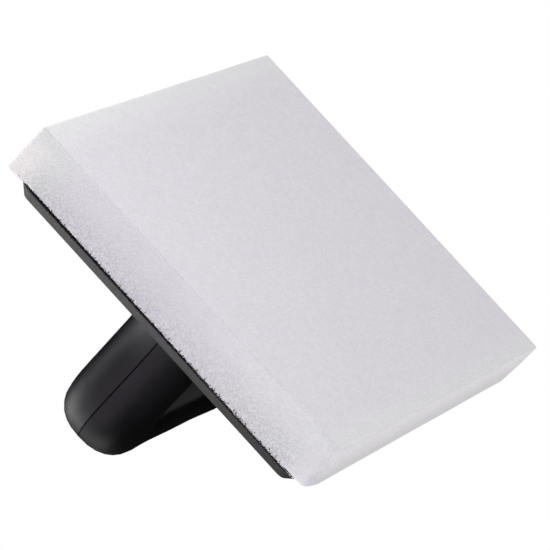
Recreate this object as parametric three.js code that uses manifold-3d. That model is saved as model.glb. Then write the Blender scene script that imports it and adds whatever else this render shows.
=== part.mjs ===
// A hand sanding block: a soft white pad, held by a hook sheet under a stiff bevelled plate, with a
// hollow D-handle of two moulded half shells screwed on top.
//
// Millimetres. The origin is the centre of the pad's working face, +X runs along the block, +Y across
// it and +Z up through the plate to the handle.

import * as THREE from "three";
import { mergeVertices } from "three/addons/utils/BufferGeometryUtils.js";
import Module from "manifold-3d";

const wasm = await Module();
wasm.setup();

// ---- driving dimensions -------------------------------------------------------------------------

const GAP = 0.3; // clearance between pieces that touch

const PAD = { length: 230, width: 150, thickness: 20, cornerRadius: 1.2 };

const HOOK_SHEET = { thickness: 1.2, overhang: 1.6 }; // overhang: past the plate at each end
const PRESSED = 1.2; // the hooks pull the foam under the plate this much thinner than its free edges

const PLATE = {
  endMargin: 4, // pad showing past the plate at each end
  sideMargin: 5.2, // and along each side
  land: 0.8, // straight edge below the bevel
  bevel: 4, // the bevel's height, and its width in plan
  cornerRadius: 3, // of the top face
};

// The handle's side view, as two bent lines of corners from its foot to the middle of its grip: the
// outside of the D and the inside of it. x is measured from the middle, z from the handle's base, and
// round is how far each corner's rounding reaches along the lines that meet there.
const HANDLE = {
  outside: [
    { x: 89, z: 0, round: 0 },
    { x: 81, z: 13, round: 12 },
    { x: 69.3, z: 64.1, round: 21 },
    { x: 36, z: 68, round: 12 },
    { x: 0, z: 68.5, round: 0 },
  ],
  inside: [
    { x: 53, z: 0, round: 0 },
    { x: 56, z: 9, round: 5 },
    { x: 46, z: 44, round: 12 },
    { x: 22, z: 46, round: 10 },
    { x: 0, z: 46.5, round: 0 },
  ],
  gripHalfWidth: 14, // over the middle of the grip, as far as slimTo
  legHalfWidth: 15.3, // from wideFrom on
  footHalfWidth: 15.9, // the feet flare a little, over the first corner
  slimTo: 18,
  wideFrom: 54,
  wall: 2.6,
  outerFullness: 2.35, // superellipse exponents: the palm side is nearly round,
  innerFullness: 4.5, // and the finger side nearly flat, with a tight edge
};

const SCREW = {
  radius: 1.75,
  headRadius: 3.6,
  headHeight: 2.2,
  recessWidth: 1,
  recessDepth: 1.2,
};
const BOSS_RADIUS = 4.6;
const WEB_THICKNESS = 2; // of the rib that ties each upright boss to its shell's side

const PLATE_SCREW = { length: 15, across: 7, bossHeight: 17 }; // across: its distance from the seam
const SHELL_SCREW = { length: 18, seatDepth: 7.5 }; // seatDepth: from the seam to the head's seat

const LINE_STEPS = 3; // stations along each straight run of the handle
const CORNER_STEPS = 7; // and round each of its corners
const SECTION_STEPS = 14; // points over half of its section
const ROD_SIDES = 24;
const ARC_STEPS = 8; // along each round corner of the pad, the hook sheet and the plate
const OVERRUN = 1; // the cutters run this far past the faces they cut
const WELD = 1e-4; // points closer than this are one point

// ---- heights and sizes that follow --------------------------------------------------------------

const hookBase = PAD.thickness - PRESSED + GAP;
const plateBase = hookBase + HOOK_SHEET.thickness + GAP;
const plateTop = plateBase + PLATE.land + PLATE.bevel;
const handleBase = plateTop + GAP;
const plateLength = PAD.length - 2 * PLATE.endMargin;
const plateWidth = PAD.width - 2 * PLATE.sideMargin;
const seam = GAP / 2; // each half shell stops this far from the middle plane

// ---- materials ----------------------------------------------------------------------------------

function finish(color, roughness, metalness = 0) {
  return new THREE.MeshStandardMaterial({ color, roughness, metalness });
}

const padFoam = () => finish(0xe9e8ec, 0.95);
const hookNylon = () => finish(0x101012, 0.8);
const plateMoulding = () => finish(0x4a4a4b, 0.6);
const handleMoulding = () => finish(0x242328, 0.45);
const screwSteel = () => finish(0x9a9ca0, 0.35, 1);

// ---- solids -------------------------------------------------------------------------------------

function solidOf(geometry) {
  const bare = geometry.clone();
  bare.deleteAttribute("normal");
  bare.deleteAttribute("uv");
  const merged = mergeVertices(bare, WELD);
  return new wasm.Manifold(
    new wasm.Mesh({
      numProp: 3,
      vertProperties: merged.attributes.position.array,
      triVerts: new Uint32Array(merged.index.array),
    }),
  );
}

function geometryOf(solid) {
  const mesh = solid.getMesh();
  const geometry = new THREE.BufferGeometry();
  geometry.setAttribute("position", new THREE.BufferAttribute(mesh.vertProperties, 3));
  geometry.setIndex(new THREE.BufferAttribute(mesh.triVerts, 1));
  const faceted = geometry.toNonIndexed();
  faceted.computeVertexNormals();
  return faceted;
}

// A rod along Z from low to high.
function rod(radius, low, high) {
  const geometry = new THREE.CylinderGeometry(radius, radius, high - low, ROD_SIDES);
  geometry.rotateX(Math.PI / 2);
  geometry.translate(0, 0, (low + high) / 2);
  return geometry;
}

// A rod along Y from low to high.
function crossRod(radius, low, high) {
  const geometry = new THREE.CylinderGeometry(radius, radius, high - low, ROD_SIDES);
  geometry.translate(0, (low + high) / 2, 0);
  return geometry;
}

function block(size, centre) {
  const geometry = new THREE.BoxGeometry(...size);
  geometry.translate(...centre);
  return geometry;
}

// A rectangle with round corners, centred on the origin.
function roundedRectangle(length, width, radius) {
  const x = length / 2 - radius;
  const y = width / 2 - radius;
  const shape = new THREE.Shape();
  shape.absarc(x, y, radius, 0, Math.PI / 2);
  shape.absarc(-x, y, radius, Math.PI / 2, Math.PI);
  shape.absarc(-x, -y, radius, Math.PI, 1.5 * Math.PI);
  shape.absarc(x, -y, radius, 1.5 * Math.PI, 2 * Math.PI);
  return shape;
}

function slab(length, width, radius, base, thickness) {
  const outline = roundedRectangle(length, width, radius);
  const geometry = new THREE.ExtrudeGeometry(outline, {
    depth: thickness,
    bevelEnabled: false,
    curveSegments: ARC_STEPS,
  });
  geometry.translate(0, 0, base);
  return geometry;
}

// ---- pad and hook sheet -------------------------------------------------------------------------

// The foam stands up along both sides of the plate, where nothing holds it down.
function padGeometry() {
  const foam = solidOf(slab(PAD.length, PAD.width, PAD.cornerRadius, 0, PAD.thickness));
  const bedWidth = plateWidth + 2 * GAP;
  const bed = block([2 * PAD.length, bedWidth, 2 * PRESSED], [0, 0, PAD.thickness]);
  return geometryOf(foam.subtract(solidOf(bed)));
}

function hookSheetGeometry() {
  const length = plateLength + 2 * HOOK_SHEET.overhang;
  const radius = PLATE.cornerRadius + PLATE.bevel;
  return slab(length, plateWidth, radius, hookBase, HOOK_SHEET.thickness);
}

// ---- screws -------------------------------------------------------------------------------------

// A pan-head screw along Z, its head's seat at z = 0 and its shank running up to z = length.
function screwSolid(length) {
  const head = solidOf(rod(SCREW.headRadius, -SCREW.headHeight, 0));
  const shank = solidOf(rod(SCREW.radius, -SCREW.headHeight / 2, length));
  const reach = SCREW.headRadius; // each arm of the cross recess, end to end
  const depth = 2 * SCREW.recessDepth; // half of it stands clear of the head
  const centre = [0, 0, -SCREW.headHeight];
  const slot = solidOf(block([reach, SCREW.recessWidth, depth], centre));
  const crossSlot = solidOf(block([SCREW.recessWidth, reach, depth], centre));
  return head.add(shank).subtract(slot).subtract(crossSlot);
}

const legMiddle = (HANDLE.outside[1].x + HANDLE.inside[1].x) / 2;
const plateScrewSpots = [-1, 1].flatMap((end) =>
  [-1, 1].map((side) => ({ x: end * legMiddle, y: side * PLATE_SCREW.across })),
);
const plateScrewSeat = plateBase + SCREW.headHeight + GAP; // the head stays below the plate's face

// Where the shell screws cross the handle: through each leg, and through the middle of the grip.
const legScrewHeight = (HANDLE.outside[2].z + PLATE_SCREW.bossHeight) / 2;
const legScrewX = (legFaceAt("outside", legScrewHeight) + legFaceAt("inside", legScrewHeight)) / 2;
const gripHeight = (HANDLE.outside.at(-1).z + HANDLE.inside.at(-1).z) / 2;
const shellScrewSpots = [
  { x: -legScrewX, z: handleBase + legScrewHeight },
  { x: 0, z: handleBase + gripHeight },
  { x: legScrewX, z: handleBase + legScrewHeight },
];

// The leg's x at a height, on the straight line between its foot's corner and its shoulder's.
function legFaceAt(face, height) {
  const [, low, high] = HANDLE[face];
  return THREE.MathUtils.mapLinear(height, low.z, high.z, low.x, high.x);
}

// ---- backing plate ------------------------------------------------------------------------------

function plateGeometry() {
  const top = roundedRectangle(
    plateLength - 2 * PLATE.bevel,
    plateWidth - 2 * PLATE.bevel,
    PLATE.cornerRadius,
  );
  const bevelled = new THREE.ExtrudeGeometry(top, {
    depth: 2 * PLATE.land,
    bevelThickness: PLATE.bevel,
    bevelSize: PLATE.bevel,
    bevelSegments: 1,
    curveSegments: ARC_STEPS,
  });
  bevelled.translate(0, 0, plateBase - PLATE.land);
  const below = block([PAD.length, PAD.width, PAD.thickness], [0, 0, plateBase - PAD.thickness / 2]);
  let plate = solidOf(bevelled).subtract(solidOf(below));
  for (const spot of plateScrewSpots) {
    const hole = rod(SCREW.radius + GAP, plateBase - OVERRUN, plateTop + OVERRUN);
    const pocket = rod(SCREW.headRadius + GAP, plateBase - OVERRUN, plateScrewSeat + GAP / 2);
    plate = plate.subtract(solidOf(hole.translate(spot.x, spot.y, 0)));
    plate = plate.subtract(solidOf(pocket.translate(spot.x, spot.y, 0)));
  }
  return geometryOf(plate);
}

// ---- handle -------------------------------------------------------------------------------------

// The stations of one side of the D, from its near foot to its far one: straight runs with the corners
// rounded between them.
function profilePoints(corners) {
  const near = corners.map((c) => new THREE.Vector2(-c.x, c.z));
  const far = corners.slice(0, -1).reverse().map((c) => new THREE.Vector2(c.x, c.z));
  const spots = [...near, ...far];
  const rounds = [...corners, ...corners.slice(0, -1).reverse()].map((c) => c.round);
  const points = [spots[0]];
  for (let i = 1; i < spots.length; i++) {
    const before = spots[i - 1];
    const corner = spots[i];
    const after = spots[i + 1] ?? corner;
    const start = along(corner, before, rounds[i]);
    const last = points.at(-1);
    for (let k = 1; k <= LINE_STEPS; k++) points.push(last.clone().lerp(start, k / LINE_STEPS));
    if (rounds[i] === 0) continue;
    const bend = new THREE.QuadraticBezierCurve(start, corner, along(corner, after, rounds[i]));
    points.push(...bend.getPoints(CORNER_STEPS).slice(1));
  }
  return points;
}

// The point at a distance from one point towards another.
function along(from, to, distance) {
  return to.clone().sub(from).setLength(distance).add(from);
}

// One half of the handle's section between an outside point and an inside one: it runs from the seam on
// the palm side round to the seam on the finger side, a given depth under the skin.
function halfSection(outside, inside, halfWidth, depth) {
  const middle = outside.clone().add(inside).multiplyScalar(0.5);
  const reach = outside.clone().sub(inside).multiplyScalar(0.5);
  reach.setLength(reach.length() - depth);
  const points = [];
  for (let k = 0; k <= SECTION_STEPS; k++) {
    const angle = (k / SECTION_STEPS) * Math.PI;
    const fullness = angle <= Math.PI / 2 ? HANDLE.outerFullness : HANDLE.innerFullness;
    const c = Math.cos(angle);
    const up = Math.sign(c) * Math.abs(c) ** (2 / fullness);
    const out = Math.abs(Math.sin(angle)) ** (2 / fullness);
    const y = seam + (halfWidth - depth - seam) * out;
    points.push(new THREE.Vector3(middle.x + reach.x * up, y, handleBase + middle.y + reach.y * up));
  }
  return points;
}

// The half width at a station's middle: the grip is the slimmest, and the feet flare below the first
// corner of the side view.
function halfWidthAt(middle) {
  const widening = THREE.MathUtils.smoothstep(Math.abs(middle.x), HANDLE.slimTo, HANDLE.wideFrom);
  const straight = THREE.MathUtils.lerp(HANDLE.gripHalfWidth, HANDLE.legHalfWidth, widening);
  const flare = THREE.MathUtils.clamp(1 - middle.y / HANDLE.outside[1].z, 0, 1);
  return straight + (HANDLE.footHalfWidth - HANDLE.legHalfWidth) * flare ** 2;
}

// The triangles that fill a level loop.
function capTriangles(loop) {
  const outline = loop.map((p) => new THREE.Vector2(p.x, p.y));
  return THREE.ShapeUtils.triangulateShape(outline, []);
}

// A closed solid through a row of closed loops that all have the same number of points. The first and
// the last loop are level.
function loft(loops) {
  const count = loops[0].length;
  const positions = loops.flat().flatMap((p) => p.toArray());
  const faces = [];
  for (let i = 0; i + 1 < loops.length; i++)
    for (let k = 0; k < count; k++) {
      const a = i * count + k;
      const b = i * count + ((k + 1) % count);
      faces.push(a, b + count, b, a, a + count, b + count);
    }
  const last = (loops.length - 1) * count;
  for (const [a, b, c] of capTriangles(loops[0])) faces.push(c, b, a);
  for (const [a, b, c] of capTriangles(loops.at(-1))) faces.push(last + c, last + b, last + a);
  const geometry = new THREE.BufferGeometry();
  geometry.setAttribute("position", new THREE.Float32BufferAttribute(positions, 3));
  geometry.setIndex(faces);
  return geometry;
}

const outsideLine = profilePoints(HANDLE.outside);
const insideLine = profilePoints(HANDLE.inside);

// The half shell's sections, from its skin down to a depth, or right through when depth is null.
function shellLoops(depth) {
  return outsideLine.map((outside, i) => {
    const inside = insideLine[i];
    const halfWidth = halfWidthAt(outside.clone().lerp(inside, 0.5));
    const skin = halfSection(outside, inside, halfWidth, 0);
    if (depth === null) return skin;
    return [...skin, ...halfSection(outside, inside, halfWidth, depth).reverse()];
  });
}

// The half shell on the +Y side, with its bosses. The screw heads sit in one half, and the screws bite
// in the other.
function shellSolid(holdsHeads) {
  const whole = solidOf(loft(shellLoops(null)));
  let shell = solidOf(loft(shellLoops(HANDLE.wall)));
  for (const spot of shellScrewSpots) {
    const boss = crossRod(BOSS_RADIUS, seam, HANDLE.footHalfWidth).translate(spot.x, 0, spot.z);
    shell = shell.add(solidOf(boss).intersect(whole));
  }
  const top = handleBase + PLATE_SCREW.bossHeight;
  for (const spot of plateScrewSpots.filter((s) => s.y > 0)) {
    const boss = rod(BOSS_RADIUS, handleBase, top).translate(spot.x, spot.y, 0);
    const webLength = HANDLE.footHalfWidth - spot.y;
    const web = block(
      [WEB_THICKNESS, webLength, top - handleBase],
      [spot.x, spot.y + webLength / 2, (handleBase + top) / 2],
    );
    shell = shell.add(solidOf(boss).add(solidOf(web)).intersect(whole));
    const pilotTop = plateScrewSeat + PLATE_SCREW.length + GAP;
    const pilot = rod(SCREW.radius + GAP, handleBase - OVERRUN, pilotTop);
    shell = shell.subtract(solidOf(pilot.translate(spot.x, spot.y, 0)));
  }
  const outermost = HANDLE.footHalfWidth + OVERRUN;
  const seat = SHELL_SCREW.seatDepth - GAP / 2;
  const farEnd = holdsHeads ? outermost : SHELL_SCREW.length - SHELL_SCREW.seatDepth + GAP;
  for (const spot of shellScrewSpots) {
    const pilot = crossRod(SCREW.radius + GAP, -OVERRUN, farEnd).translate(spot.x, 0, spot.z);
    shell = shell.subtract(solidOf(pilot));
    if (!holdsHeads) continue;
    const well = crossRod(SCREW.headRadius + GAP, seat, outermost).translate(spot.x, 0, spot.z);
    shell = shell.subtract(solidOf(well));
  }
  return shell;
}

// The same geometry on the other side of the middle plane, with its faces turned to point out again.
function mirroredAcross(geometry) {
  const mirrored = geometry.clone().scale(1, -1, 1);
  const p = mirrored.attributes.position;
  for (let i = 0; i < p.count; i += 3) {
    const second = new THREE.Vector3().fromBufferAttribute(p, i + 1);
    const third = new THREE.Vector3().fromBufferAttribute(p, i + 2);
    p.setXYZ(i + 1, ...third.toArray());
    p.setXYZ(i + 2, ...second.toArray());
  }
  mirrored.computeVertexNormals();
  return mirrored;
}

// ---- assembly -----------------------------------------------------------------------------------

function named(name, geometry, material) {
  const mesh = new THREE.Mesh(geometry, material);
  mesh.name = name;
  return mesh;
}

const sandingBlock = new THREE.Group();
sandingBlock.add(named("pad", padGeometry(), padFoam()));
sandingBlock.add(named("hook_sheet", hookSheetGeometry(), hookNylon()));
sandingBlock.add(named("backing_plate", plateGeometry(), plateMoulding()));

const leftShell = geometryOf(shellSolid(false));
const rightShell = mirroredAcross(geometryOf(shellSolid(true)));
sandingBlock.add(named("handle_shell_left", leftShell, handleMoulding()));
sandingBlock.add(named("handle_shell_right", rightShell, handleMoulding()));

plateScrewSpots.forEach((spot, i) => {
  const screw = named(`plate_screw_${i + 1}`, geometryOf(screwSolid(PLATE_SCREW.length)), screwSteel());
  screw.position.set(spot.x, spot.y, plateScrewSeat);
  sandingBlock.add(screw);
});

shellScrewSpots.forEach((spot, i) => {
  const screw = named(`shell_screw_${i + 1}`, geometryOf(screwSolid(SHELL_SCREW.length)), screwSteel());
  screw.rotation.x = -Math.PI / 2; // the shank now points along +Y
  screw.position.set(spot.x, -SHELL_SCREW.seatDepth, spot.z);
  sandingBlock.add(screw);
});

export default sandingBlock;
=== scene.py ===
import math
import random

import bmesh
import bpy
import numpy as np
from mathutils import Matrix, Vector, noise


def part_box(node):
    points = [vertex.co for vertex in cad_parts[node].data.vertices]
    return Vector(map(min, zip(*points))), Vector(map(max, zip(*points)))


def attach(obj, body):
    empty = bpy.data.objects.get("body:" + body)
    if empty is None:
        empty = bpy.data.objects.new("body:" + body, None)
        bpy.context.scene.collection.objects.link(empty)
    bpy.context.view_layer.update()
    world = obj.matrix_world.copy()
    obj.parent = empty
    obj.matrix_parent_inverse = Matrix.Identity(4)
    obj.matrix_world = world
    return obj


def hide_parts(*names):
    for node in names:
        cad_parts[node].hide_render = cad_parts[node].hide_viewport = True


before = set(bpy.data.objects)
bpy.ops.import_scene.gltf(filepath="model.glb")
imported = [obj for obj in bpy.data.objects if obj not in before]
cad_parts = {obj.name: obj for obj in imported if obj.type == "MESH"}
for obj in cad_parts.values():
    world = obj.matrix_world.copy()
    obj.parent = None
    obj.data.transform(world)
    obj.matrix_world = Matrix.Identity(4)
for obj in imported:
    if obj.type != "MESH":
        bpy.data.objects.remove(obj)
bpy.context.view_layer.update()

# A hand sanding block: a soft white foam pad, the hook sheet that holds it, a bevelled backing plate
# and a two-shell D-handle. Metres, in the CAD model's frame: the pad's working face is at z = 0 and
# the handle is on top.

MM = 0.001
PAD_LOW, PAD_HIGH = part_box("pad")
SHEET_LOW, SHEET_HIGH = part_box("hook_sheet")
PLATE_LOW, PLATE_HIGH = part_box("backing_plate")

# ---- camera ---------------------------------------------------------------------------------------

# The block is photographed from below its working face, almost end on, and the picture is turned.
CAMERA_AZIMUTH = -97.4
CAMERA_ELEVATION = -19.5
CAMERA_ROLL = -135.0
CAMERA_DISTANCE = 1.965
CAMERA_LENS = 363.5
CAMERA_AIM = Vector((-6.0, 1.9, 14.0)) * MM

# ---- pad ------------------------------------------------------------------------------------------

FOAM_EDGE_RADIUS = 0.6 * MM
WORN_RADIUS = 4.0 * MM  # at the one corner that is rubbed round
WORN_CORNER = (-1, 1)  # which corner that is, in x and y
WORN_REACH = 16 * MM
FOAM_STEP = 2.0 * MM  # mesh spacing over the pad's faces
FOAM_EDGE_STEPS = 6  # and how many closer steps run over each edge's rounding
FOAM_SWELL = 0.3 * MM  # slow unevenness of the cut faces
FOAM_SWELL_SIZE = 45 * MM
FOAM_CROWN = 0.3 * MM  # how far the sides lean in at the top, where the foam is held
BED_SHOULDER = 5 * MM  # how far the foam takes to rise at the sides of the plate
BED_GAP = 0.3 * MM  # between the pressed foam and the hook sheet
BED_TILT = 0.35 * MM  # the foam is drawn down less at the +Y side than at the -Y side, by twice this
CRUMB_SPACING = 0.4 * MM  # torn foam cells along the line where the hooks bite
CRUMB_SIZE = (0.15 * MM, 0.45 * MM)
CRUMB_SHRINK = (0.3, 1.0)  # each crumb is one of those sizes times one of these
CRUMB_BACK = (0.2, 0.7)  # how far in it sits, in edge radii
CRUMB_SINK = (0.1, 0.8)  # and how far down, in its own size
CRUMB_ARM = (0.6, 1.0)  # how long its six points are, in its own size
CRUMB_SEED = 7
FOAM_LIP = 0.4 * MM  # how far the foam rises past each end of the hook sheet
CROWN_START = 0.4  # the sides start to lean in at this share of the height
FACE_DOWN = -0.9  # a normal whose z is under this belongs to the working face
FACE_SWELL = 0.2  # which has only this share of the unevenness

# ---- the foam's tints -----------------------------------------------------------------------------

# The pad's ends face -X and +X. Its sides face -Y, called the start, and +Y, called the stop. Each
# pair of distances says where a tint is nothing and where it is full.
HELD_BELOW = (17 * MM, 0)  # open pores, by the depth below the hook sheet
HELD_INSIDE = (-2 * MM, 8 * MM)  # and by the distance in from the plate's long edge
PAINTED_SHADE_HEIGHT = (2 * MM, SHEET_LOW.z)  # painted shade on the sides: darker upwards, by the height over the working face
PAINTED_SHADE_INSIDE = (0, 12 * MM)
CREASE_HEIGHT = (6 * MM, 3 * MM)  # a soft shade where an end turns into the working face
CREASE_START = (25 * MM, 0)
CREASE_STOP = (14 * MM, 40 * MM)
RIM_REACH = (16 * MM, 0)  # paler along the sides' edges
DULL_REACH = (125 * MM, 55 * MM)  # the ends' half towards the start is a little darker
WAN_REACH = (65 * MM, 135 * MM)  # less violet towards the stop
PALE_REACH = (28 * MM, 10 * MM)  # neutral towards the start
WARM_PAINTED_LIGHT_REACH = (14 * MM, 3 * MM)  # and a little warm in the corner by the plate, where painted light also makes it lighter
WARM_PAINTED_LIGHT_HEIGHT = (1 * MM, 9 * MM)
COARSE_REACH = (0, 18 * MM)  # the grain fades out towards the start
FOAM_SHADE = (0.45, 0.45, 0.46, 1)

# ---- hooks ----------------------------------------------------------------------------------------

HOOK_SPACING = 0.35 * MM
HOOK_REACH = (2.2 * MM, 3.0 * MM)  # how far single hooks stick out of the sheet's ends
HOOK_DROP = (0.2 * MM, 0.8 * MM)  # and how far they then bend down over the foam
SIDE_HOOK_REACH = (0.2 * MM, 0.7 * MM)  # and of its long sides
HOOK_RADIUS = 0.28 * MM
HOOK_LEAN = 0.3  # how far hooks lean sideways or down, for each unit outwards
HOOK_SEED = 11
SHEET_RAGGEDNESS = 0.25 * MM
SHEET_INSET = 1.2 * MM  # the sheet stops this far inside the plate's long sides
SHEET_CORNER = 7 * MM  # its corner radius, the same as the outline of the plate's bevelled corner
SHEET_BITE = 0.2 * MM  # how far it reaches down into the foam
SHEET_TIER = 0.4 * MM  # a second ragged line runs round its edge this far up
SHEET_CLEARANCE = 0.02 * MM  # between its top and the plate

# ---- plate and handle -----------------------------------------------------------------------------

PLATE_PAINTED_SHADE = (-25 * MM, PLATE_HIGH.y)  # painted shade that darkens the plate towards +Y, in y
GRIP_PAINTED_LIGHT_REACH = (44 * MM, 34 * MM)  # in x, where painted light makes the grip's underside grey

WELD_REACH = 0.002 * MM  # points of a CAD mesh closer than this are one point
SEAM_REACH = (0.35 * MM, 0.15 * MM)  # the seam's edges darken between these distances from its middle
LIP_INSET = 0.5 * MM  # how far the lip in the seam stays back from the outside
LIP_THICKNESS = 0.5 * MM  # it fills the seam's gap and goes a little into both half shells

# ---- light ----------------------------------------------------------------------------------------

ROOM_LIGHT = 0.777  # how bright the white room is where it lights matt surfaces
ROOM_GLOSS = 0.008  # and where it shows in glossy ones, which mostly mirror dark flags
VIOLET = (0.94, 0.84, 1.0)  # the lamps from the front and the side are slightly violet
FLOOR_SIZE = 6.0
FLOOR_FADE = (0.6, 2.4)  # between these distances the floor fades into the white room
FLOOR_DROP = 0.4 * MM  # the floor lies just under the pad, so that the two faces don't coincide


# ---- shader helpers -------------------------------------------------------------------------------


class Shader:
    """A new material's node tree, with a Principled shader and short calls for the usual nodes."""

    def __init__(self, name, **settings):
        self.material = bpy.data.materials.new(name)
        self.material.use_nodes = True
        self.tree = self.material.node_tree
        self.principled = self.tree.nodes["Principled BSDF"]
        for socket, value in settings.items():
            self.principled.inputs[socket.replace("_", " ")].default_value = value
        self.place = self.tree.nodes.new("ShaderNodeTexCoord").outputs["Object"]

    def node(self, kind, **inputs):
        made = self.tree.nodes.new("ShaderNode" + kind)
        for socket, value in inputs.items():
            self.feed(made.inputs[socket.replace("_", " ")], value)
        return made

    def feed(self, socket, value):
        if isinstance(value, bpy.types.NodeSocket):
            self.tree.links.new(value, socket)
        else:
            socket.default_value = value

    def stretched(self, x, y, z):
        """The object's own coordinates, scaled along each axis."""
        mapping = self.node("Mapping", Vector=self.place)
        mapping.inputs["Scale"].default_value = (x, y, z)
        return mapping.outputs["Vector"]

    def noise(self, size, detail=4, rough=0.55, place=None):
        """Smooth noise from 0 to 1 whose largest features are about size metres across."""
        made = self.node("TexNoise", Vector=place or self.place, Scale=1 / size, Detail=detail)
        made.inputs["Roughness"].default_value = rough
        return made.outputs["Fac"]

    def cells(self, size, place=None):
        """The distance to the nearest of many scattered points, about size metres apart."""
        made = self.node("TexVoronoi", Vector=place or self.place, Scale=1 / size)
        return made.outputs["Distance"]

    def fade(self, value, low, high, to_low=0.0, to_high=1.0):
        made = self.node("MapRange", Value=value)
        made.interpolation_type = "SMOOTHSTEP"
        limits = {"From Min": low, "From Max": high, "To Min": to_low, "To Max": to_high}
        for socket, number in limits.items():
            made.inputs[socket].default_value = number
        return made.outputs["Result"]

    def math(self, operation, first, second=0.0):
        made = self.tree.nodes.new("ShaderNodeMath")
        made.operation = operation
        self.feed(made.inputs[0], first)
        self.feed(made.inputs[1], second)
        return made.outputs[0]

    def product(self, first, *others):
        for other in others:
            first = self.math("MULTIPLY", first, other)
        return first

    def mix(self, factor, first, second):
        made = self.tree.nodes.new("ShaderNodeMix")
        made.data_type = "RGBA"
        self.feed(made.inputs["Factor"], factor)
        self.feed(made.inputs[6], first)
        self.feed(made.inputs[7], second)
        return made.outputs[2]

    def tint(self, under, where, share, colour):
        """A share of a colour laid over another one, where a mask says."""
        return self.mix(self.math("MULTIPLY", where, share), under, colour)

    def bump(self, height, depth, under=None):
        """A bump of about depth metres, laid over another one."""
        made = self.node("Bump", Height=height, Distance=depth)
        if under is not None:
            self.feed(made.inputs["Normal"], under)
        return made.outputs["Normal"]

    def finish(self, colour, roughness, normal):
        self.feed(self.principled.inputs["Base Color"], colour)
        self.feed(self.principled.inputs["Roughness"], roughness)
        self.feed(self.principled.inputs["Normal"], normal)
        return self.material


# ---- materials ------------------------------------------------------------------------------------


def foam_masks(s):
    """Where each of the foam's tints, and its painted light and shade, lies, as shader values from 0 to 1.
    """
    at = s.node("SeparateXYZ", Vector=s.place).outputs
    facing = s.node("SeparateXYZ", Vector=s.node("NewGeometry").outputs["Normal"]).outputs
    from_start = s.math("ADD", at["Y"], PAD_HIGH.y)
    from_stop = s.math("SUBTRACT", PAD_HIGH.y, at["Y"])
    below_sheet = s.math("SUBTRACT", SHEET_LOW.z, at["Z"])
    under_plate = s.math("SUBTRACT", PLATE_HIGH.y, s.math("ABSOLUTE", at["Y"]))
    facing_x = s.math("ABSOLUTE", facing["X"])
    facing_z = s.math("ABSOLUTE", facing["Z"])

    upright = s.fade(facing_z, 0.8, 0.3)
    end = s.fade(facing_x, 0.3, 0.8)
    stop_side_painted_lighting = s.fade(facing["Y"], 0.3, 0.8)
    turn = s.product(facing_x, facing_z, s.fade(at["Z"], *CREASE_HEIGHT))
    fade_at_start = s.fade(from_start, *CREASE_START, 0.65, 1.0)
    return {
        "held": s.product(
            s.math("POWER", s.fade(below_sheet, *HELD_BELOW), 1.5),
            s.fade(under_plate, *HELD_INSIDE),
        ),
        "upright": upright,
        "painted_shade_upwards": s.product(upright, s.fade(at["Z"], *PAINTED_SHADE_HEIGHT), s.fade(under_plate, *PAINTED_SHADE_INSIDE)),
        "stop_side_painted_lighting": stop_side_painted_lighting,
        "stop_side_painted_shade": s.product(stop_side_painted_lighting, s.fade(at["Z"], 0, SHEET_LOW.z)),
        "crease": s.product(s.fade(turn, 0.05, 0.45), fade_at_start, s.fade(from_stop, *CREASE_STOP)),
        "rim": s.fade(s.math("MINIMUM", from_start, from_stop), *RIM_REACH),
        "dull": s.product(end, s.fade(from_start, *DULL_REACH, 0.0, 0.4)),
        "wan": s.product(end, s.fade(from_start, *WAN_REACH)),
        "pale": s.product(end, s.fade(from_start, *PALE_REACH)),
        "warm_painted_light": s.product(end, s.fade(from_start, *WARM_PAINTED_LIGHT_REACH), s.fade(at["Z"], *WARM_PAINTED_LIGHT_HEIGHT)),
        "coarse": s.fade(from_start, *COARSE_REACH, 0.15, 1.0),
    }


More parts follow.
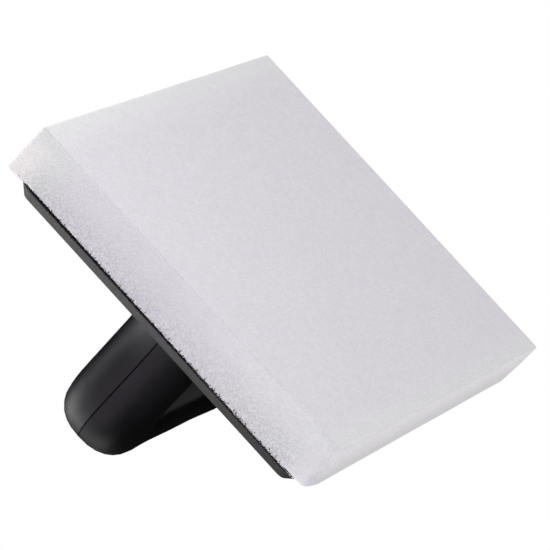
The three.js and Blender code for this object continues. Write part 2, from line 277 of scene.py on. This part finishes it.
def foam_material():
    """Fine open-celled white foam that light soaks into: faint grain, and pores near the plate."""
    s = Shader("foam", Specular_IOR_Level=0.1, Subsurface_Weight=1.0, Subsurface_Scale=0.9 * MM)
    s.principled.inputs["Subsurface Radius"].default_value = (1, 1, 1)
    on = foam_masks(s)
    cloud = s.noise(30 * MM, detail=4)
    mottle = s.noise(4 * MM, detail=3)
    grain = s.noise(1.0 * MM, detail=3, rough=0.7)
    pores = s.fade(s.noise(0.55 * MM, detail=2), 0.52, 0.40)
    specks = s.fade(s.cells(9 * MM), 0.04, 0.02)
    mottled = s.product(s.fade(mottle, 0.35, 0.65), s.fade(on["upright"], 0, 1, 0.14, 0.07))
    grainy = s.product(s.fade(grain, 0.35, 0.65), s.fade(on["upright"], 0, 1, 0.30, 0.12), on["coarse"])

    white = s.mix(cloud, (0.795, 0.765, 0.83, 1), (0.83, 0.80, 0.865, 1))
    white = s.tint(white, on["rim"], 0.8, (0.84, 0.835, 0.845, 1))
    white = s.tint(white, on["dull"], 1.0, (0.72, 0.71, 0.74, 1))
    white = s.tint(white, on["wan"], 1.0, (0.82, 0.815, 0.833, 1))
    white = s.tint(white, on["pale"], 1.0, (0.777, 0.78, 0.782, 1))
    # a warm tint with painted light, lighter in the corner by the plate
    white = s.tint(white, on["warm_painted_light"], 0.6, (0.93, 0.885, 0.885, 1))
    # painted light: the +Y side is made lighter all over by its facing
    white = s.tint(white, on["stop_side_painted_lighting"], 1.0, (0.955, 0.925, 0.985, 1))
    white = s.tint(white, mottled, 1.0, (0.60, 0.59, 0.64, 1))
    white = s.tint(white, grainy, 1.0, (0.55, 0.54, 0.58, 1))
    # painted shade: the sides darken upwards towards the plate
    white = s.tint(white, on["painted_shade_upwards"], 0.15, FOAM_SHADE)
    # painted shade: the +Y side darkens strongly towards the plate
    white = s.tint(white, on["stop_side_painted_shade"], 0.42, FOAM_SHADE)
    white = s.tint(white, on["crease"], 0.3, FOAM_SHADE)
    white = s.tint(white, s.product(pores, on["held"]), 0.26, (0.24, 0.24, 0.27, 1))
    white = s.tint(white, specks, 0.35, (0.30, 0.29, 0.30, 1))

    roughness = s.fade(grain, 0.3, 0.7, 0.88, 0.98)
    normal = s.bump(s.product(mottle, on["coarse"]), 0.12 * MM)
    normal = s.bump(s.product(grain, on["coarse"]), 0.09 * MM, normal)
    return s.finish(white, roughness, s.bump(s.math("SUBTRACT", 1.0, pores), 0.1 * MM, normal))


def hook_material():
    """Black nylon hooks, rough and slightly dusty with foam."""
    s = Shader("hooks", Specular_IOR_Level=0.3)
    dust = s.fade(s.noise(0.8 * MM, detail=3), 0.58, 0.75)
    colour = s.tint((0.006, 0.006, 0.007, 1), dust, 0.25, (0.16, 0.16, 0.17, 1))
    roughness = s.fade(s.noise(2 * MM), 0.3, 0.7, 0.6, 0.85)
    return s.finish(colour, roughness, s.bump(s.cells(0.6 * MM), 0.2 * MM))


def plate_material():
    """Dark grey moulding with painted shade darkening it towards +Y: a fine matt grain with faint flow
    streaks across it.
    """
    s = Shader("plate", Specular_IOR_Level=0.4)
    grain = s.noise(0.5 * MM, detail=3, rough=0.6)
    streaks = s.noise(2.0 * MM, detail=4, place=s.stretched(1, 0.06, 1))
    smudge = s.noise(30 * MM, detail=3)
    grey = s.mix(s.fade(streaks, 0.3, 0.7), (0.042, 0.042, 0.043, 1), (0.055, 0.055, 0.056, 1))
    grey = s.mix(s.fade(smudge, 0.45, 0.7, 0.0, 0.3), grey, (0.071, 0.071, 0.073, 1))
    across = s.node("SeparateXYZ", Vector=s.place).outputs["Y"]
    # painted shade: the plate darkens towards +Y
    grey = s.tint(grey, s.fade(across, *PLATE_PAINTED_SHADE), 0.75, (0.012, 0.012, 0.0125, 1))
    roughness = s.fade(s.math("ADD", grain, smudge), 0.7, 1.3, 0.52, 0.70)
    normal = s.bump(grain, 0.05 * MM)
    return s.finish(grey, roughness, s.bump(streaks, 0.04 * MM, normal))


def handle_material():
    """Satin black moulding with a slight violet cast, a fine spark grain, a few rubbed marks and painted
    light under the grip.
    """
    s = Shader("handle", Specular_IOR_Level=0.5)
    grain = s.noise(0.45 * MM, detail=3, rough=0.65)
    smudge = s.noise(18 * MM, detail=4)
    black = s.mix(s.fade(smudge, 0.35, 0.65), (0.0032, 0.0028, 0.0042, 1), (0.0058, 0.0050, 0.0074, 1))
    speckle = s.fade(s.cells(0.7 * MM), 0.12, 0.05)
    black = s.tint(black, speckle, 0.08, (0.08, 0.075, 0.09, 1))
    scuffs = s.fade(s.cells(24 * MM, place=s.stretched(1, 1, 2.2)), 0.06, 0.035)
    black = s.tint(black, scuffs, 0.2, (0.12, 0.115, 0.125, 1))
    at = s.node("SeparateXYZ", Vector=s.place).outputs
    facing = s.node("SeparateXYZ", Vector=s.node("NewGeometry").outputs["Normal"]).outputs
    seam = s.fade(s.math("ABSOLUTE", at["Y"]), *SEAM_REACH)
    black = s.mix(seam, black, (0.001, 0.001, 0.001, 1))
    # painted light: the grip's underside is made a lighter grey
    painted_light_under_grip = s.fade(s.math("ABSOLUTE", at["X"]), *GRIP_PAINTED_LIGHT_REACH)
    painted_light_under_grip = s.product(painted_light_under_grip, s.fade(facing["Z"], -0.75, -0.97))
    black = s.mix(painted_light_under_grip, black, (0.085, 0.085, 0.085, 1))
    gloss = s.fade(s.math("ADD", s.math("MULTIPLY", grain, 0.5), smudge), 0.45, 1.05, 0.42, 0.58)
    s.feed(s.principled.inputs["Specular IOR Level"], s.fade(seam, 0.0, 1.0, 0.5, 0.05))
    return s.finish(black, gloss, s.bump(grain, 0.035 * MM))


def screw_material():
    """Plain steel with turning marks and a little tarnish."""
    s = Shader("screw", Metallic=1.0)
    tarnish = s.noise(1.5 * MM, detail=4)
    colour = s.mix(s.fade(tarnish, 0.35, 0.7), (0.62, 0.62, 0.63, 1), (0.36, 0.35, 0.34, 1))
    roughness = s.fade(tarnish, 0.3, 0.7, 0.28, 0.5)
    return s.finish(colour, roughness, s.bump(s.noise(0.3 * MM), 0.02 * MM))


def floor_material():
    """A pale matt floor that is only seen from above, and that fades into the white room far off."""
    s = Shader("floor", Roughness=0.9, Specular_IOR_Level=0.1)
    s.feed(s.principled.inputs["Base Color"], (0.86, 0.86, 0.87, 1))
    away = s.node("VectorMath", Vector=s.place)
    away.operation = "LENGTH"
    faded = s.fade(away.outputs["Value"], *FLOOR_FADE)
    behind = s.node("NewGeometry").outputs["Backfacing"]
    clear = s.node("BsdfTransparent").outputs["BSDF"]
    either = s.tree.nodes.new("ShaderNodeMixShader")
    s.feed(either.inputs[0], s.math("MAXIMUM", behind, faded))
    s.feed(either.inputs[1], s.principled.outputs["BSDF"])
    s.feed(either.inputs[2], clear)
    s.feed(s.tree.nodes["Material Output"].inputs["Surface"], either.outputs[0])
    return s.material


# ---- meshes ---------------------------------------------------------------------------------------


def new_object(name, points, faces, material):
    mesh = bpy.data.meshes.new(name)
    mesh.from_pydata([tuple(p) for p in points], [], faces)
    mesh.update()
    mesh.polygons.foreach_set("use_smooth", [True] * len(mesh.polygons))
    mesh.materials.append(material)
    made = bpy.data.objects.new(name, mesh)
    bpy.context.collection.objects.link(made)
    return made


def spaced(length, edge, steps):
    """Positions along a side, from one end to the other: close together over both rounded edges."""
    near = np.linspace(0, edge, steps + 1)
    middle = np.linspace(edge, length - edge, max(2, round((length - 2 * edge) / FOAM_STEP)) + 1)
    return np.concatenate([near[:-1], middle, length - near[-2::-1]]) - length / 2


def box_lattice(size, edge, steps):
    """The surface of a box as quads, with its points on a lattice: (points, faces)."""
    axes = [spaced(length, edge, steps) for length in size]
    counts = [len(a) for a in axes]
    index = {}
    points = []

    def corner(i, j, k):
        if (i, j, k) not in index:
            index[i, j, k] = len(points)
            points.append((axes[0][i], axes[1][j], axes[2][k]))
        return index[i, j, k]

    faces = []
    for across in range(3):
        u, v = (across + 1) % 3, (across + 2) % 3
        for end in (0, counts[across] - 1):
            for a in range(counts[u] - 1):
                for b in range(counts[v] - 1):
                    ring = [(a, b), (a + 1, b), (a + 1, b + 1), (a, b + 1)]
                    if end == 0:
                        ring.reverse()
                    cell = []
                    for p, q in ring:
                        at = [0, 0, 0]
                        at[across], at[u], at[v] = end, p, q
                        cell.append(corner(*at))
                    faces.append(cell)
    return np.array(points), faces


def smooth_step(value, low, high):
    t = np.clip((value - low) / (high - low), 0, 1)
    return t * t * (3 - 2 * t)


def rounded(points, size, radius):
    """The lattice's points moved in from its edges onto a box rounded by each point's own radius."""
    inner = np.array(size) / 2 - radius[:, None]
    core = np.clip(points, -inner, inner)
    out = points - core
    normals = out / np.linalg.norm(out, axis=1)[:, None]
    return core + normals * radius[:, None], normals


def foam_pad(material):
    """The pad: a soft cut block that the hooks draw down under the plate, so it stands up beside it."""
    low, high = PAD_LOW, PAD_HIGH
    size = high - low
    points, faces = box_lattice(size, WORN_RADIUS, FOAM_EDGE_STEPS)
    worn = np.array(WORN_CORNER) * np.array(size)[:2] / 2
    wear = 1 - smooth_step(np.linalg.norm(points[:, :2] - worn, axis=1), 0, WORN_REACH)
    radius = FOAM_EDGE_RADIUS + (WORN_RADIUS - FOAM_EDGE_RADIUS) * wear
    points, normals = rounded(points, size, radius)
    points += np.array((low + high) / 2)
    swell = np.array([noise.noise(Vector(p) / FOAM_SWELL_SIZE) for p in points])
    sunk = FOAM_SWELL * (swell + 1) / 2
    sunk *= np.where(normals[:, 2] < FACE_DOWN, FACE_SWELL, 1.0)
    points -= normals * sunk[:, None]
    lean = FOAM_CROWN * smooth_step(points[:, 2], CROWN_START * high.z, high.z)
    points[:, :2] -= normals[:, :2] * lean[:, None]
    beside = smooth_step(np.abs(points[:, 1]), PLATE_HIGH.y - BED_SHOULDER, PLATE_HIGH.y)
    lip = FOAM_LIP * smooth_step(np.abs(points[:, 0]), SHEET_HIGH.x, high.x - FOAM_EDGE_RADIUS)
    pressed = high.z - bed_height(points[:, 1]) - lip
    points[:, 2] *= 1 - (1 - beside) * pressed / high.z
    pad = new_object("foam_pad", points, faces, material)
    add_crumbs(pad, high.x - FOAM_CROWN, PLATE_HIGH.y)
    return pad


def bed_height(y):
    """The height of the pressed foam under the hooks, which tilts a little across the block."""
    return SHEET_LOW.z - BED_GAP + BED_TILT * y / PLATE_HIGH.y


def add_crumbs(pad, end, half_width):
    """Torn foam cells along the top edge at both ends of the pad, where the hooks catch it."""
    rng = random.Random(CRUMB_SEED)
    points = [v.co.copy() for v in pad.data.vertices]
    faces = [tuple(p.vertices) for p in pad.data.polygons]
    for side in (-1, 1):
        for step in range(round(2 * half_width / CRUMB_SPACING)):
            y = -half_width + (step + rng.uniform(0, 1)) * CRUMB_SPACING
            size = rng.uniform(*CRUMB_SIZE) * rng.uniform(*CRUMB_SHRINK)
            back = FOAM_EDGE_RADIUS * rng.uniform(*CRUMB_BACK)
            top = bed_height(y) + FOAM_LIP
            centre = Vector((side * (end - back), y, top - size * rng.uniform(*CRUMB_SINK)))
            add_nub(points, faces, centre, size, rng)
    pad.data.clear_geometry()
    pad.data.from_pydata(points, [], faces)
    pad.data.polygons.foreach_set("use_smooth", [True] * len(pad.data.polygons))


def add_nub(points, faces, centre, size, rng):
    """A small uneven octahedron."""
    first = len(points)
    for axis in range(3):
        for way in (-1, 1):
            arm = Vector((0, 0, 0))
            arm[axis] = way * size * rng.uniform(*CRUMB_ARM)
            points.append(centre + arm)
    west, east, south, north, down, up = range(first, first + 6)
    ring = [east, north, west, south]
    for k in range(4):
        faces.append((ring[k], ring[(k + 1) % 4], up))
        faces.append((ring[(k + 1) % 4], ring[k], down))


def rounded_outline(half_x, half_y, radius, step):
    """Points round a rectangle with round corners, counter-clockwise, about step apart."""
    points = []
    corners = [(1, 1, 0), (-1, 1, 1), (-1, -1, 2), (1, -1, 3)]
    for sx, sy, quarter in corners:
        centre = Vector((sx * (half_x - radius), sy * (half_y - radius)))
        turns = max(3, round(radius * math.pi / 2 / step))
        for k in range(turns + 1):
            angle = (quarter + k / turns) * math.pi / 2
            points.append(centre + radius * Vector((math.cos(angle), math.sin(angle))))
    walked = []
    for a, b in zip(points, points[1:] + points[:1]):
        pieces = max(1, round((b - a).length / step))
        walked.extend(a.lerp(b, k / pieces) for k in range(pieces))
    return walked


def hook_pile(material):
    """The hook sheet: a thin backing with a ragged edge, set with small hooks all round that edge."""
    rng = random.Random(HOOK_SEED)
    low, high = SHEET_LOW, SHEET_HIGH
    half_y = high.y - SHEET_INSET
    outline = rounded_outline(high.x, half_y, SHEET_CORNER, HOOK_SPACING)
    layers = [low.z - SHEET_BITE, low.z + SHEET_TIER, high.z, PLATE_LOW.z - SHEET_CLEARANCE]
    points, faces = [], []
    for z in layers:
        for p in outline:
            ragged = 1 - rng.uniform(0, SHEET_RAGGEDNESS) / p.length
            points.append(Vector((p.x * ragged, p.y * ragged, z)))
    count = len(outline)
    for layer in range(len(layers) - 1):
        for k in range(count):
            a = layer * count + k
            b = layer * count + (k + 1) % count
            faces.append((a, b, b + count, a + count))
    top = (len(layers) - 1) * count
    faces.append(tuple(range(count - 1, -1, -1)))
    faces.append(tuple(range(top, top + count)))
    for p in outline:
        at_end = abs(p.y) < half_y - SHEET_CORNER
        outward = Vector((math.copysign(1, p.x), 0, 0)) if at_end else Vector((p.x, p.y, 0)).normalized()
        root = Vector((p.x, p.y, rng.uniform(low.z, high.z))) - outward * 2 * HOOK_RADIUS
        lean = Vector((0, rng.uniform(-HOOK_LEAN, HOOK_LEAN), rng.uniform(-HOOK_LEAN, 0)))
        reach = rng.uniform(*(HOOK_REACH if at_end else SIDE_HOOK_REACH))
        knee = root + (outward + lean).normalized() * reach
        add_thorn(points, faces, root, knee, HOOK_RADIUS)
        if at_end:
            down = Vector((0, rng.uniform(-HOOK_LEAN, HOOK_LEAN), -1)).normalized()
            add_thorn(points, faces, knee, knee + down * rng.uniform(*HOOK_DROP), HOOK_RADIUS)
    return new_object("hook_pile", points, faces, material)


def add_thorn(points, faces, root, tip, radius):
    """A three-sided spike from root to tip."""
    along = (tip - root).normalized()
    side = along.orthogonal().normalized() * radius
    first = len(points)
    points.extend(root + Matrix.Rotation(k * math.tau / 3, 3, along) @ side for k in range(3))
    points.append(tip)
    a, b, c, d = range(first, first + 4)
    faces.extend([(a, b, d), (b, c, d), (c, a, d), (c, b, a)])


def seam_lip(shell, material):
    """The lip that the half shells meet on, set back in the seam, so that no light shows through it."""
    form = bmesh.new()
    form.from_mesh(shell.data)
    bmesh.ops.remove_doubles(form, verts=form.verts, dist=WELD_REACH)
    seam = min(abs(v.co.y) for v in form.verts)
    off_seam = [f for f in form.faces if max(abs(v.co.y) for v in f.verts) > seam + WELD_REACH]
    bmesh.ops.delete(form, geom=off_seam, context="FACES")
    border = bmesh.ops.inset_region(form, faces=form.faces[:], thickness=LIP_INSET, use_boundary=True)
    bmesh.ops.delete(form, geom=border["faces"], context="FACES")
    form.verts.index_update()
    points = [(v.co.x, 0, v.co.z) for v in form.verts]
    faces = [[v.index for v in f.verts] for f in form.faces]
    form.free()
    lip = new_object("handle_lip", points, faces, material)
    solid = lip.modifiers.new("Thickness", "SOLIDIFY")
    solid.thickness = LIP_THICKNESS
    solid.offset = 0
    return lip


# ---- CAD pieces -----------------------------------------------------------------------------------


def dress(node, material, crease=35, edge=None):
    """A CAD node with its own material, smooth between its creases, and with its edges eased when an edge
    width is given.
    """
    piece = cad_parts[node]
    piece.data.materials.clear()
    piece.data.materials.append(material)
    weld = piece.modifiers.new("Weld", "WELD")
    weld.merge_threshold = WELD_REACH
    if edge:
        eased = piece.modifiers.new("Eased", "BEVEL")
        eased.width = edge
        eased.segments = 2
        eased.limit_method = "ANGLE"
        eased.angle_limit = math.radians(crease)
        kept = piece.modifiers.new("Flat faces", "WEIGHTED_NORMAL")
        kept.keep_sharp = True
    else:
        split = piece.modifiers.new("Creases", "EDGE_SPLIT")
        split.split_angle = math.radians(crease)
    piece.data.polygons.foreach_set("use_smooth", [True] * len(piece.data.polygons))


# ---- stage ----------------------------------------------------------------------------------------


def softbox(name, place, size, radiance, colour=(1, 1, 1)):
    """A square softbox at a place, turned towards the block."""
    data = bpy.data.lights.new(name, "AREA")
    data.size = size
    data.energy = radiance * math.pi * size**2
    data.color = colour
    lamp = bpy.data.objects.new(name, data)
    bpy.context.collection.objects.link(lamp)
    lamp.location = place
    lamp.rotation_mode = "QUATERNION"
    lamp.rotation_quaternion = Vector(place).to_track_quat("Z", "Y")
    lamp.visible_camera = False


def white_room():
    """A white room for the camera, softer where it lights the block and dim where it is mirrored."""
    world = bpy.data.worlds.new("room")
    world.use_nodes = True
    bpy.context.scene.world = world
    tree = world.node_tree
    path = tree.nodes.new("ShaderNodeLightPath")
    shown = tree.nodes["Background"].outputs[0]
    tree.nodes["Background"].inputs["Color"].default_value = (1, 1, 1, 1)
    tree.nodes["Background"].inputs["Strength"].default_value = ROOM_LIGHT
    for ray, strength in (("Is Glossy Ray", ROOM_GLOSS), ("Is Camera Ray", 1.0)):
        other = tree.nodes.new("ShaderNodeBackground")
        other.inputs["Color"].default_value = (1, 1, 1, 1)
        other.inputs["Strength"].default_value = strength
        either = tree.nodes.new("ShaderNodeMixShader")
        tree.links.new(path.outputs[ray], either.inputs[0])
        tree.links.new(shown, either.inputs[1])
        tree.links.new(other.outputs[0], either.inputs[2])
        shown = either.outputs[0]
    tree.links.new(shown, tree.nodes["World Output"].inputs["Surface"])


def pale_floor():
    half = FLOOR_SIZE / 2
    corners = [(-half, -half), (half, -half), (half, half), (-half, half)]
    points = [(x, y, -FLOOR_DROP) for x, y in corners]
    floor = new_object("floor", points, [(0, 1, 2, 3)], floor_material())
    floor.visible_shadow = False
    floor.visible_diffuse = False
    floor.visible_glossy = False


def photo_camera():
    azimuth = math.radians(CAMERA_AZIMUTH)
    elevation = math.radians(CAMERA_ELEVATION)
    level = math.cos(elevation)
    back = Vector((math.sin(azimuth) * level, -math.cos(azimuth) * level, math.sin(elevation)))
    data = bpy.data.cameras.new("camera")
    data.lens = CAMERA_LENS
    data.sensor_width = 36
    data.clip_end = 100
    camera = bpy.data.objects.new("camera", data)
    bpy.context.collection.objects.link(camera)
    turn = (-back).to_track_quat("-Z", "Y").to_matrix() @ Matrix.Rotation(math.radians(CAMERA_ROLL), 3, "Z")
    camera.matrix_world = Matrix.Translation(CAMERA_AIM + back * CAMERA_DISTANCE) @ turn.to_4x4()
    bpy.context.scene.camera = camera


# ---- the block ------------------------------------------------------------------------------------

photo_camera()
white_room()
pale_floor()
softbox("front_box", (-0.52, 0.0, 0.50), 0.45, 1.15, VIOLET)
softbox("top_box", (0.02, -0.30, 0.60), 0.35, 3.8)
softbox("back_box", (0.10, 0.12, 0.62), 0.30, 1.1)
softbox("side_box", (-0.08, -0.52, 0.44), 0.18, 2.2, VIOLET)
softbox("corner_box", (-0.20, -0.20, -0.18), 0.25, 0.9)
softbox("low_box", (-0.34, -0.10, -0.32), 0.35, 0.5)

bpy.context.scene.view_settings.view_transform = "Standard"

pad = foam_pad(foam_material())
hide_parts("pad")
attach(pad, "pad")

hooks = hook_pile(hook_material())
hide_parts("hook_sheet")
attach(hooks, "holder")

dress("backing_plate", plate_material(), crease=30, edge=0.35 * MM)
moulding = handle_material()
dress("handle_shell_left", moulding)
dress("handle_shell_right", moulding)
lip = seam_lip(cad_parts["handle_shell_left"], moulding)
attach(lip, "holder")
steel = screw_material()
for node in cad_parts:
    if "screw" in node:
        dress(node, steel, crease=40, edge=0.25 * MM)
